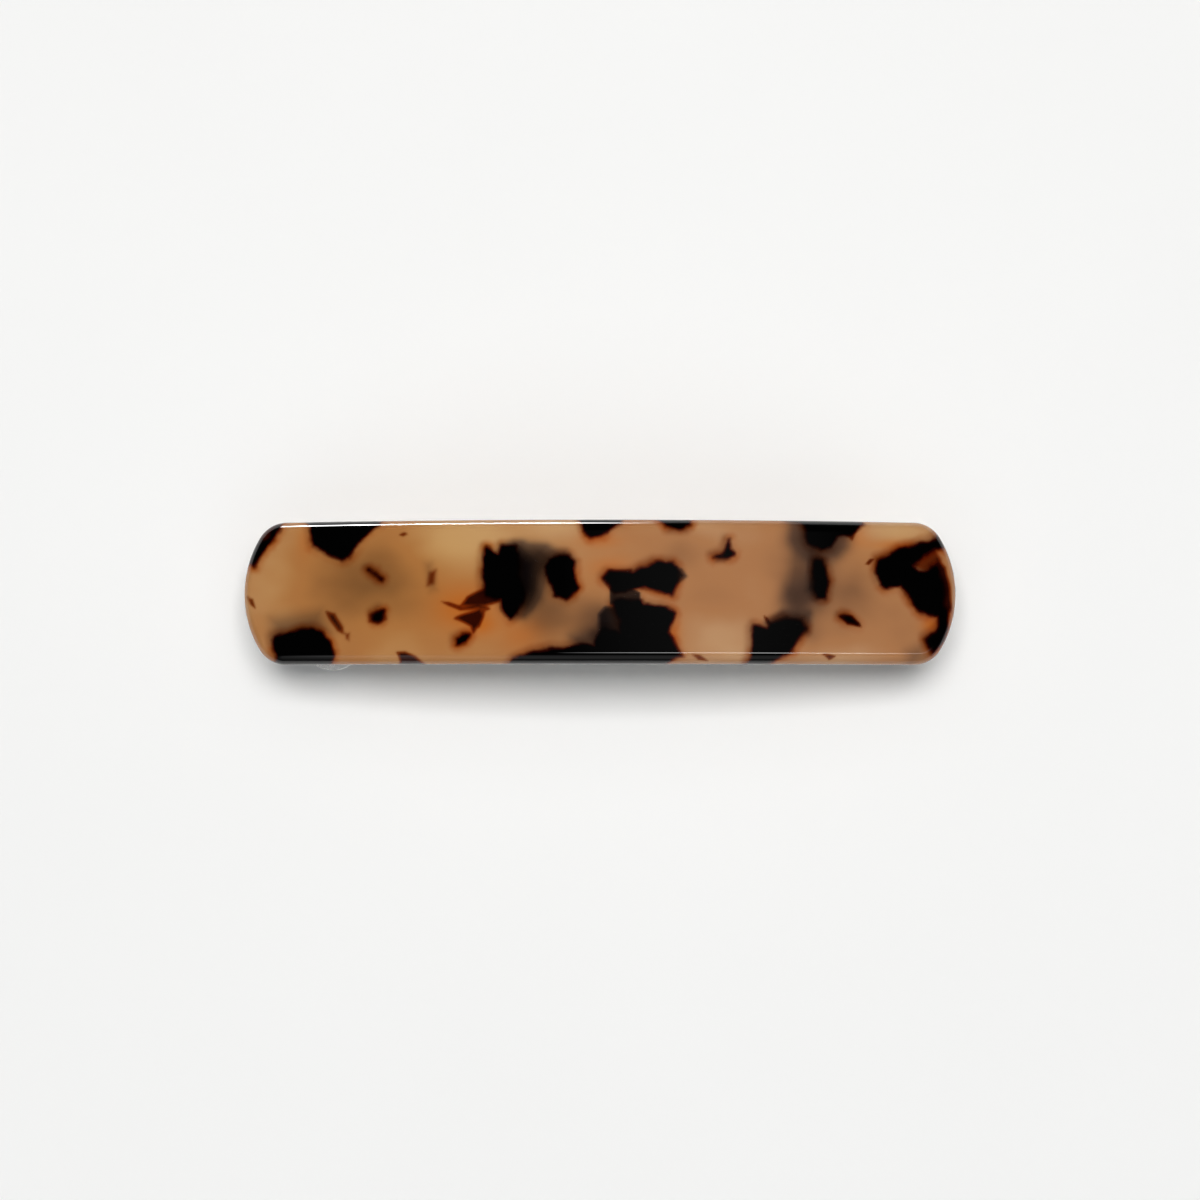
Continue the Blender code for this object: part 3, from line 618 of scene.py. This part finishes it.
def make_acetate():
    """Polished tortoiseshell acetate: amber, dark flakes with red-brown edges, and smoky clouds."""
    shading = Shading("tortoiseshell_acetate")
    broad = shading.noise((0.10, 0.16, 0.3), 2.0)
    wander = shading.noise((0.5, 0.6, 0.6), 1.0, 0.5, (5.0, 0.0, 2.0))
    ragged = shading.noise((1.3, 1.4, 1.2), 1.0, 0.4, (1.0, 4.0, 0.0))
    warmth = shading.noise((0.22, 0.30, 0.3), 1.0, 0.5, (3.0, 9.0, 6.0))

    # The tone is partly painted light: paler towards the long edges, where light comes in at the plate's
    # edges.
    tone = shading.math("ADD", shading.attribute("tone"), shading.span(broad, 0.3, 0.7, -0.15, 0.15))
    amber = shading.mix(shading.span(tone, -0.75, 0.10), paint(194, 154, 114), paint(170, 117, 76))
    amber = shading.mix(shading.span(tone, 0.05, 1.0), amber, paint(114, 78, 54))
    amber = shading.darken(shading.attribute("orange"), amber, 1.0, 0.92, 0.60)
    amber = shading.mix(shading.math("MULTIPLY", shading.attribute("glow"), 0.9), amber, paint(182, 98, 32))

    wander = shading.span(wander, 0.2, 0.8, -0.12, 0.12)
    ragged = shading.span(ragged, 0.2, 0.8, -0.06, 0.06)
    edge = shading.math("ADD", shading.attribute("flake"), shading.math("ADD", wander, ragged))
    width = shading.span(broad, 0.35, 0.65, 0.06, 0.20)
    black = shading.span(edge, width, shading.math("SUBTRACT", 0.0, width))
    warmth = shading.span(warmth, 0.34, 0.60, 0.25, 1.0)
    halo = shading.math("MULTIPLY", shading.span(edge, 1.25, 0.1), warmth)
    shade = shading.span(shading.attribute("shade"), 0.9, -0.6, 0.0, 0.6)
    stain = shading.attribute("stain")
    cloud = shading.attribute("cloud")

    colour = shading.darken(halo, amber, 0.72, 0.33, 0.10)
    colour = shading.darken(shade, colour, 0.24, 0.20, 0.21)
    colour = shading.darken(shading.span(stain, 0.0, 0.5), colour, 0.42, 0.17, 0.07)
    colour = shading.darken(shading.span(stain, 0.35, 0.88), colour, 0.14, 0.12, 0.40)
    colour = shading.darken(shading.span(cloud, 0.0, 0.5), colour, 0.28, 0.31, 0.44)
    colour = shading.darken(shading.span(cloud, 0.35, 1.0), colour, 0.03, 0.04, 0.09)
    colour = shading.darken(shading.span(edge, 0.52, 0.0), colour, 0.16, 0.03, 0.03)
    colour = shading.mix(black, colour, paint(1, 1, 1))

    haze = shading.noise((0.5, 0.5, 0.5), 3.0, 0.6, (2.0, 8.0, 4.0))
    hairlines = shading.span(shading.noise((0.7, 14.0, 8.0), 1.0, 0.3, (4.0, 1.0, 9.0)), 0.70, 0.76)
    shading.set(
        Base_Color=colour,
        Roughness=shading.math(
            "ADD", shading.span(haze, 0.3, 0.7, 0.018, 0.034), shading.math("MULTIPLY", hairlines, 0.05)
        ),
        IOR=1.48,
    )
    shading.bump(haze, 0.0002)
    return shading.material


# ---------------------------------------------------------------- acetate plate


def plate_half_outline():
    """The +Y side of the plate's outline, from its +X tip round to its -X tip, in fine steps."""
    end_centre = PLATE_LENGTH / 2 - PLATE_END_RADIUS
    corner_y = PLATE_WIDTH / 2 - PLATE_CORNER_RADIUS
    corner_x = end_centre + math.sqrt((PLATE_END_RADIUS - PLATE_CORNER_RADIUS) ** 2 - corner_y**2)
    meet = math.atan2(corner_y, corner_x - end_centre)
    quarter = []
    for centre, radius, turns in (
        ((end_centre, 0), PLATE_END_RADIUS, stations(0, meet, math.radians(2))),
        ((corner_x, corner_y), PLATE_CORNER_RADIUS, stations(meet, math.pi / 2, math.radians(5))[1:]),
    ):
        for turn in turns:
            across, along = unit(turn)
            quarter.append((centre[0] + radius * across, centre[1] + radius * along, across, along))
    quarter += [(x, PLATE_WIDTH / 2, 0.0, 1.0) for x in stations(corner_x, 0, -0.0002)[1:]]
    return quarter + [(-x, y, -nx, ny) for x, y, nx, ny in quarter[-2::-1]]


def bend_plate(point):
    """Wraps the flat plate onto its arc. Points level with the start of the upper rounding keep their x."""
    turn = math.asin(point.x / (PLATE_RADIUS - PLATE_TOP_ROUNDING))
    reach = PLATE_RADIUS + point.z
    return (reach * math.sin(turn), point.y, CROWN - PLATE_RADIUS + reach * math.cos(turn))


def make_plate(material):
    """The rounded rim, and two faces in rows across the plate, fine enough to carry the pattern's layers."""
    half = plate_half_outline()
    ring = half + [(x, -y, nx, -ny) for x, y, nx, ny in half[-2:0:-1]]
    flat, normals, faces = [], [], []
    loops = []
    for inset, height, tilt in rim_rings(PLATE_THICKNESS, PLATE_TOP_ROUNDING, PLATE_BOTTOM_ROUNDING, 10):
        loops.append(range(len(flat), len(flat) + len(ring)))
        flat += [Vector((x - nx * inset, y - ny * inset, height)) for x, y, nx, ny in ring]
        normals += [tilted(nx, ny, tilt) for _, _, nx, ny in ring]
    for below, above in zip(loops, loops[1:]):
        for i in range(len(ring)):
            faces.append((below[i - 1], below[i], above[i], above[i - 1]))
    rows = 76
    for loop, facing in ((loops[0], -1), (loops[-1], 1)):
        columns = [[loop[0]] * (rows + 1)]
        for i in range(1, len(half) - 1):
            high, low = loop[i], loop[-i]
            first = len(flat)
            for k in range(1, rows):
                flat.append(flat[high].lerp(flat[low], k / rows))
                normals.append(Vector((0, 0, facing)))
            columns.append([high, *range(first, first + rows - 1), low])
        columns.append([loop[len(half) - 1]] * (rows + 1))
        for right, left in zip(columns, columns[1:]):
            for k in range(rows):
                corners = [right[k], left[k], left[k + 1], right[k + 1]]
                corners = list(dict.fromkeys(corners))
                faces.append(corners if facing > 0 else corners[::-1])
    normals = [normal_after(bend_plate, point, normal) for point, normal in zip(flat, normals)]
    points = [bend_plate(point) for point in flat]
    plate = finished(
        "plate_of_acetate", points, normals, faces, material, "plate_and_base", ["acetate_plate"], "acetate"
    )
    for name, values in shell_layers(points).items():
        layer = plate.data.attributes.new(name, "FLOAT", "POINT")
        layer.data.foreach_set("value", values.astype(np.float32))


# ---------------------------------------------------------------- base bar
# One folded sheet: a strip whose long edges turn down into flanges, which deepen into the hinge lugs.

FOLD_REACH = 0.0010
BASE_PATH = [(0.0035, 0), (FOLD_REACH * math.pi / 2, math.pi / 2), (0.0100, 0)]
BASE_EDGE = 0.00395
FLANGE_EDGE = 0.00577
LUG_EDGE = 0.01401
LUG_BLEND_START = 0.0060
LUG_BLEND_END = 0.0080
BASE_PIN_HOLE = (0.0322, 0.01053, 0.00078)


def bend_base(point):
    """The lugs are folded without the arch, so that their feet and pin holes stay level."""
    across, up = on_path(BASE_PATH, abs(point.y), point.z)
    lug = smooth((abs(point.y) - LUG_BLEND_START) / (LUG_BLEND_END - LUG_BLEND_START))
    arch = arc_height(point.x, BASE_RADIUS, BASE_CROWN)
    arch += lug * (arc_height(PIVOT.x, BASE_RADIUS, BASE_CROWN) - arch)
    return (point.x, math.copysign(across, point.y), up + arch)


def make_base(material):
    half = [
        (0.0386, BASE_EDGE, 0.0028),
        (0.0361, BASE_EDGE, 0.00025),
        (0.0336, LUG_EDGE, 0.0006),
        (0.0308, LUG_EDGE, 0.0006),
        (0.0286, FLANGE_EDGE, 0.0012),
        (-0.0240, FLANGE_EDGE, 0.0006),
        (-0.0241, BASE_EDGE, 0.00025),
        (-0.0386, BASE_EDGE, 0.0028),
    ]
    outlines = [rounded(mirrored(half))]
    x, y, radius = BASE_PIN_HOLE
    outlines += [round_hole(x, side * y, radius) for side in (-1, 1)]
    for side in (-1, 1):
        middle = side * TONGUE_X
        outlines.append(slot((middle - 0.0006, -0.0016), (middle + 0.0006, 0.0016), 0.0003))
        outlines.append(round_hole(side * FIXING_X, 0, 0.0007))
        rivet = CATCH_SEAT @ Vector((side * CATCH_RIVET_X, 0, 0))
        outlines.append(round_hole(rivet.x, 0, 0.0006))
    folds = mirrored_stations(*first_bend(BASE_PATH), 0.0002)
    folds += mirrored_stations(LUG_BLEND_START, LUG_BLEND_END, 0.0005)
    mesh = slab(outlines, SHEET, 0.00018, stations(-0.0375, 0.0375, 0.0015), folds)
    finished(
        "folded_base", *bent(mesh, bend_base), material, "plate_and_base", ["base_bar"], "nickel_plate"
    )


# ---------------------------------------------------------------- clasp arm
# One folded sheet: an arched strip with a paddle round the catch window, and two tabs turned up at
# the hinge.

TAB_FOLD_X = 0.0304
TAB_FOLD_RADIUS = 0.0002
ARM_PATH = [(0.0023, 0), (TAB_FOLD_RADIUS * math.pi / 2, -math.pi / 2), (0.0040, 0)]
TAB_EDGE = 0.00541
TAB_BLEND_START = 0.0026
TAB_BLEND_END = 0.0035
ARM_PIN_HOLE = (0.0322, 0.003814, 0.0008)


def bend_arm(point):
    """The tabs turn up at the hinge's end only, without the arch, so that their pin holes stay level."""
    across, up = abs(point.y), point.z
    arch = arc_height(point.x, ARM_RADIUS, ARM_CROWN)
    if point.x > TAB_FOLD_X:
        across, up = on_path(ARM_PATH, across, up)
        tab = smooth((abs(point.y) - TAB_BLEND_START) / (TAB_BLEND_END - TAB_BLEND_START))
        arch += tab * (arc_height(PIVOT.x, ARM_RADIUS, ARM_CROWN) - arch)
    return (point.x, math.copysign(across, point.y), up + arch)


def make_arm(material):
    half = [
        (0.0338, TAB_EDGE, 0.00155),
        (0.0306, TAB_EDGE, 0.00155),
        (0.0306, 0.00225, 0.00015),
        (0.0302, 0.00225, 0.00015),
        (0.0302, 0.0034, 0.0005),
        (-0.0250, 0.0034, 0.0030),
        (-0.0272, 0.0040, 0.0030),
        (-0.03695, 0.0040, 0.00395),
    ]
    x, y, radius = ARM_PIN_HOLE
    outlines = [rounded(mirrored(half))]
    outlines += [round_hole(x, side * y, radius) for side in (-1, 1)]
    outlines.append(slot((-0.0326, -0.0025), (-0.0276, 0.0025), 0.0005))
    folds = mirrored_stations(*first_bend(ARM_PATH), 0.00006)
    folds += mirrored_stations(TAB_BLEND_START, TAB_BLEND_END, 0.0003)
    mesh = slab(outlines, SHEET, 0.00022, stations(-0.0360, 0.0330, 0.0015), folds)
    finished("folded_arm", *bent(mesh, bend_arm), material, "arm", ["clasp_arm"], "nickel_plate")


# ---------------------------------------------------------------- tension bar
# A thin bowed strip whose ends turn up as tongues through the base's slots. It is made in two halves that
# meet in the middle, because only the middle moves when the arm presses on it.

TENSION_HALF_LENGTH = 0.0262
TENSION_CROWN = CROWN - 0.0063
TENSION_RISE = TENSION_CROWN - (
    arc_height(TENSION_HALF_LENGTH, BASE_UNDER_RADIUS, BASE_UNDER_CROWN) - SEAT_GAP
)
TENSION_RADIUS = (TENSION_HALF_LENGTH**2 + TENSION_RISE**2) / (2 * TENSION_RISE)
TONGUE_FOLD_RADIUS = 0.00025
TONGUE_PATH = [(0.02545, 0), (TONGUE_FOLD_RADIUS * math.pi / 2, -math.pi / 2), (0.0010, 0)]


def bend_tension(point):
    along, up = on_path(TONGUE_PATH, abs(point.x), point.z)
    along = math.copysign(along, point.x)
    return (along, point.y, up + arc_height(along, TENSION_RADIUS, TENSION_CROWN))


def make_tension_bar(material):
    tip = 0.0263
    half = [(tip, 0.0012, 0.0003), (0.0252, 0.0012, 0.0003), (0.0249, 0.0022, 0.0004)]
    half += [(-x, y, radius) for x, y, radius in half[::-1]]
    for name, side in (("tension_strip_left", -1), ("tension_strip_right", 1)):
        cuts = stations(-0.0250, 0.0250, 0.0010)
        cuts += mirrored_stations(*first_bend(TONGUE_PATH), 0.0001)
        mesh = slab([rounded(mirrored(half))], TENSION_SHEET, 0.00012, cuts)
        cut(mesh, (side, 0, 0), 0, keep_above=True)
        strip = finished(name, *bent(mesh, bend_tension), material, None, ["tension_bar"], "spring_steel")
        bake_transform(strip)


# ---------------------------------------------------------------- catch
# One sprung sheet bent into a U, riveted under the base. Its two wings end in round finger ears, and the
# tongue cut free from each ear goes straight on down to a hooked barb.

EAR_DROP = math.radians(72)
CATCH_PATH = [
    (0.0013, 0),
    (0.0009 * math.pi / 2, math.pi / 2),
    (0.00195, 0),
    (0.00055 * EAR_DROP, -EAR_DROP),
    (0.0062, 0),
]
LEG_END = sum(length for length, _ in CATCH_PATH[:3])
EAR_START = LEG_END + CATCH_PATH[3][0]
EAR_TIP = 0.01158
EAR_RADIUS = 0.0039
LEG_HALF_LENGTH = 0.0033
BARB_START = (0.002195, -0.0027)
BARB_TURN = math.radians(140)
BARB_BEND_RADIUS = 0.00015
BARB_PATH = [(0.00565, 0), (BARB_BEND_RADIUS * BARB_TURN, -BARB_TURN), (0.00035, 0)]
BARB_LENGTH = sum(length for length, _ in BARB_PATH)
BARB_SHEET = 0.00049


def ear_outline():
    """The whole flat sheet: a strip with a round ear at each end."""
    centre = EAR_TIP - EAR_RADIUS
    meet = math.acos(LEG_HALF_LENGTH / EAR_RADIUS)
    found = []
    for side in (1, -1):
        for turn in stations(-meet, math.pi + meet, math.radians(6)):
            across, along = side * unit(turn)
            found.append((EAR_RADIUS * across, side * centre + EAR_RADIUS * along, across, along))
    return found


def catch_place(across, side, along, up):
    return CATCH_SEAT @ Vector((along, math.copysign(across, side), up - CATCH_SEAT_GAP))


def bend_catch(point):
    across, up = on_path(CATCH_PATH, abs(point.y), point.z)
    return catch_place(across, point.y, point.x, up)


def make_catch(material):
    window_half, window_end, window_corner = 0.0021, 0.00755, 0.0005
    for name, body, side in (("front", "wing_front", -1), ("back", "wing_back", 1)):
        outlines = [ear_outline()]
        outlines += [round_hole(x, 0, 0.0006) for x in (-CATCH_RIVET_X, CATCH_RIVET_X)]
        low, high = sorted((side * LEG_END, side * window_end))
        outlines.append(slot((-window_half, low), (window_half, high), window_corner))
        folds = stations(*first_bend(CATCH_PATH), 0.00014)
        folds += stations(LEG_END, EAR_START, 0.00009)
        mesh = slab(outlines, SPRING_SHEET, 0.00015, (), [side * fold for fold in folds])
        cut(mesh, (0, side, 0), 0, keep_above=True)
        wing = finished(
            f"catch_sheet_{name}", *bent(mesh, bend_catch), material, None,
            ["catch_foot", f"catch_wing_{name}"], "spring_steel",
        )
        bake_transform(wing)
        make_barb(name, body, side, material)


def make_barb(name, body, side, material):
    def bend(point):
        across, up = on_path(BARB_PATH, point.y, point.z, BARB_START, math.pi / 2)
        return catch_place(across, 1, point.x, up)

    half, end = 0.0016, BARB_LENGTH
    corners = [(half, 0, 0.0002), (half, end, 0.0004), (-half, end, 0.0004), (-half, 0, 0.0002)]
    folds = stations(*first_bend(BARB_PATH), 0.00003)
    points, normals, faces = bent(slab([rounded(corners)], BARB_SHEET, 0.00012, (), folds), bend)
    if side < 0:
        points = [(x, -y, z) for x, y, z in points]
        normals = [Vector((x, -y, z)) for x, y, z in normals]
        faces = [face[::-1] for face in faces]
    nodes = [f"catch_wing_{name}"]
    finished(f"catch_barb_{name}", points, normals, faces, material, body, nodes, "spring_steel")


# ---------------------------------------------------------------- pins and rivets


def turned(name, profile, place, material, node):
    """A turned piece whose axis is the place's Z. Its (radius, height) profile starts and ends there."""
    sides = 48
    points = [(0, 0, profile[0][1])]
    faces = []
    for radius, height in profile[1:-1]:
        angles = [math.tau * i / sides for i in range(sides)]
        points += [(radius * math.cos(a), radius * math.sin(a), height) for a in angles]
    points.append((0, 0, profile[-1][1]))
    rings = [range(1 + k * sides, 1 + (k + 1) * sides) for k in range(len(profile) - 2)]
    for i in range(sides):
        faces.append((0, rings[0][i], rings[0][i - 1]))
        faces.append((rings[-1][i - 1], rings[-1][i], len(points) - 1))
        faces += [(low[i - 1], low[i], high[i], high[i - 1]) for low, high in zip(rings, rings[1:])]
    data = bpy.data.meshes.new(name)
    data.from_pydata([place @ Vector(point) for point in points], [], faces)
    data.shade_smooth()
    data.set_sharp_from_angle(angle=math.radians(40))
    data.materials.append(material)
    piece = bpy.data.objects.new(name, data)
    bpy.context.scene.collection.objects.link(piece)
    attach(piece, "plate_and_base")
    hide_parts(node)


def head(radius, height, base):
    """A domed head that points down from its base: from the middle of the dome out to its rounded rim."""
    rim = height * 0.35
    turns = stations(0, math.pi / 2, 0.13)[:-1]
    dome = [(radius * math.sin(t), base - rim - (height - rim) * math.cos(t)) for t in turns]
    return dome + [(radius, base - rim), (radius, base - 0.0001), (radius - 0.0001, base)]


def make_pins(material):
    gap = 0.0001
    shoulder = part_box("hinge_pin")[1].y - 0.0005
    end = head(0.00125, 0.0005, -shoulder)
    shank = [(0.0007, -shoulder), (0.0007, shoulder)]
    across = Matrix.Translation(PIVOT) @ Matrix.Rotation(-math.pi / 2, 4, "X")
    profile = end + shank + [(radius, -height) for radius, height in end[::-1]]
    turned("pin_of_hinge", profile, across, material, "hinge_pin")
    foot_under = -CATCH_SEAT_GAP - SPRING_SHEET - gap
    for node, side in (("catch_rivet_outer", -1), ("catch_rivet_inner", 1)):
        profile = head(0.00095, 0.00035, foot_under)
        profile += [(0.0005, foot_under), (0.0005, SHEET - gap), (0, SHEET - gap)]
        place = CATCH_SEAT @ Matrix.Translation((side * CATCH_RIVET_X, 0, 0))
        turned(f"turned_{node}", profile, place, material, node)
    for node, side in (("fixing_pin_left", -1), ("fixing_pin_right", 1)):
        profile = head(0.0012, 0.0005, -gap) + [(0.0006, -gap), (0.0006, 0.0028), (0, 0.0028)]
        turned(f"turned_{node}", profile, seat_on_base(side * FIXING_X), material, node)


# ---------------------------------------------------------------- floor, light and camera


def make_floor():
    half = 1.5
    data = bpy.data.meshes.new("floor")
    corners = [(-half, -half, 0), (half, -half, 0), (half, half, 0), (-half, half, 0)]
    data.from_pydata(corners, [], [(0, 1, 2, 3)])
    shading = Shading("pale_floor")
    mottling = shading.noise((0.02, 0.02, 0.02))
    shading.set(
        Base_Color=shading.mix(mottling, paint(244, 243, 241), paint(247, 246, 244)),
        Roughness=0.7,
        Specular_IOR_Level=0.0,
    )
    data.materials.append(shading.material)
    floor = bpy.data.objects.new("floor", data)
    bpy.context.scene.collection.objects.link(floor)


def soften(light):
    """Fades a light out towards its edges, like a soft box with its lamp behind the middle.
    The strength is 16 u (1 - u) v (1 - v) over the light's own u and v, which is 1 in the middle."""
    light.use_nodes = True
    nodes, links = light.node_tree.nodes, light.node_tree.links
    place = nodes.new("ShaderNodeNewGeometry").outputs["Parametric"]
    rest, product = nodes.new("ShaderNodeVectorMath"), nodes.new("ShaderNodeVectorMath")
    rest.operation, product.operation = "SUBTRACT", "MULTIPLY"
    rest.inputs[0].default_value = (1, 1, 1)
    links.new(place, rest.inputs[1])
    links.new(place, product.inputs[0])
    links.new(rest.outputs[0], product.inputs[1])
    split = nodes.new("ShaderNodeSeparateXYZ")
    links.new(product.outputs[0], split.inputs[0])
    both, strength = nodes.new("ShaderNodeMath"), nodes.new("ShaderNodeMath")
    both.operation = strength.operation = "MULTIPLY"
    links.new(split.outputs["X"], both.inputs[0])
    links.new(split.outputs["Y"], both.inputs[1])
    links.new(both.outputs[0], strength.inputs[0])
    strength.inputs[1].default_value = 16.0
    links.new(strength.outputs[0], nodes["Emission"].inputs["Strength"])


def make_light(name, place, target, size, power, colour=(1, 1, 1), glossy=True, diffuse=True):
    """A soft box that faces the target, with its first side level. One that is only there to be mirrored
    fades towards its edges."""
    light = bpy.data.lights.new(name, "AREA")
    light.shape = "RECTANGLE"
    light.size, light.size_y = size
    light.energy = power
    light.color = colour
    lamp = bpy.data.objects.new(name, light)
    away = (Vector(place) - Vector(target)).normalized()
    along = (Vector((1, 0, 0)) - away * away.x).normalized()
    turn = Matrix((along, away.cross(along), away)).transposed().to_4x4()
    lamp.matrix_world = Matrix.Translation(place) @ turn
    if not diffuse:
        soften(light)
    lamp.visible_glossy = glossy
    lamp.visible_diffuse = diffuse
    bpy.context.scene.collection.objects.link(lamp)


def make_world():
    """A studio that is pale round the horizon and dark overhead."""
    world = bpy.data.worlds.new("studio")
    world.use_nodes = True
    nodes, links = world.node_tree.nodes, world.node_tree.links
    split = nodes.new("ShaderNodeSeparateXYZ")
    links.new(nodes.new("ShaderNodeTexCoord").outputs["Generated"], split.inputs[0])
    ramp = nodes.new("ShaderNodeValToRGB")
    links.new(split.outputs["Z"], ramp.inputs[0])
    ramp.color_ramp.elements.new(0.012)
    for element, height, grey in zip(ramp.color_ramp.elements, (0.0, 0.012, 0.25), (0.7, 0.16, 0.006)):
        element.position = height
        element.color = (grey, grey, grey, 1)
    links.new(ramp.outputs[0], nodes["Background"].inputs[0])
    bpy.context.scene.world = world


def make_camera():
    elevation = math.radians(87.65)
    distance = 0.3363
    target = Vector((0.0, -0.00083, CROWN - 0.0033))
    camera = bpy.data.objects.new("camera", bpy.data.cameras.new("camera"))
    camera.data.lens = 90.7
    camera.data.sensor_width = 36
    camera.data.clip_start = 0.01
    away = Vector((0, -math.cos(elevation), math.sin(elevation)))
    camera.location = target + distance * away
    camera.rotation_euler = (math.pi / 2 - elevation, 0, 0)
    bpy.context.scene.collection.objects.link(camera)
    bpy.context.scene.camera = camera


def main():
    nickel = make_metal("nickel_plated_steel", paint(214, 211, 204), paint(188, 181, 168), 0.22, 5.0, 0.003)
    spring = make_metal("spring_steel", paint(224, 224, 222), paint(196, 195, 191), 0.25, 4.0, 0.001)
    rivet = make_metal("rivet_steel", paint(196, 194, 190), paint(160, 156, 150), 0.32, 3.0, 0.003)
    make_camera()
    make_plate(make_acetate())
    make_base(nickel)
    make_arm(nickel)
    make_tension_bar(spring)
    make_catch(spring)
    make_pins(rivet)
    make_floor()
    make_world()
    make_light("key", (0.0, 0.23, 1.18), (0, 0, 0.01), (0.60, 0.40), 10.8, glossy=False)
    make_light("broad", (0.0, 0.35, 1.20), (0, 0, 0.01), (1.60, 1.30), 3.6, glossy=False)
    make_light("fill", (0.0, -0.72, 1.00), (0, 0, 0.01), (1.60, 0.90), 3.8, (0.88, 0.95, 1.0), glossy=False)
    make_light("front_card", (0.0, -0.78, 0.62), (0, 0, 0.01), (2.00, 1.00), 2.8, diffuse=False)
    make_light("ear_card", (-0.464, -0.534, 0.717), (0, 0, 0.01), (0.42, 0.42), 0.30, diffuse=False)
    make_light("back_strip", (-0.150, 0.58, 0.055), (0, 0, 0.015), (0.42, 0.10), 15.0, diffuse=False)
    make_light("front_strip", (0.222, -0.058, 0.60), (0, 0, 0.01), (0.62, 0.07), 2.0, diffuse=False)
    make_light("overhead_card", (0.15, 0.03, 0.62), (0, 0, 0.01), (0.42, 0.17), 0.020, diffuse=False)
    bpy.context.scene.view_settings.view_transform = "Standard"


main()
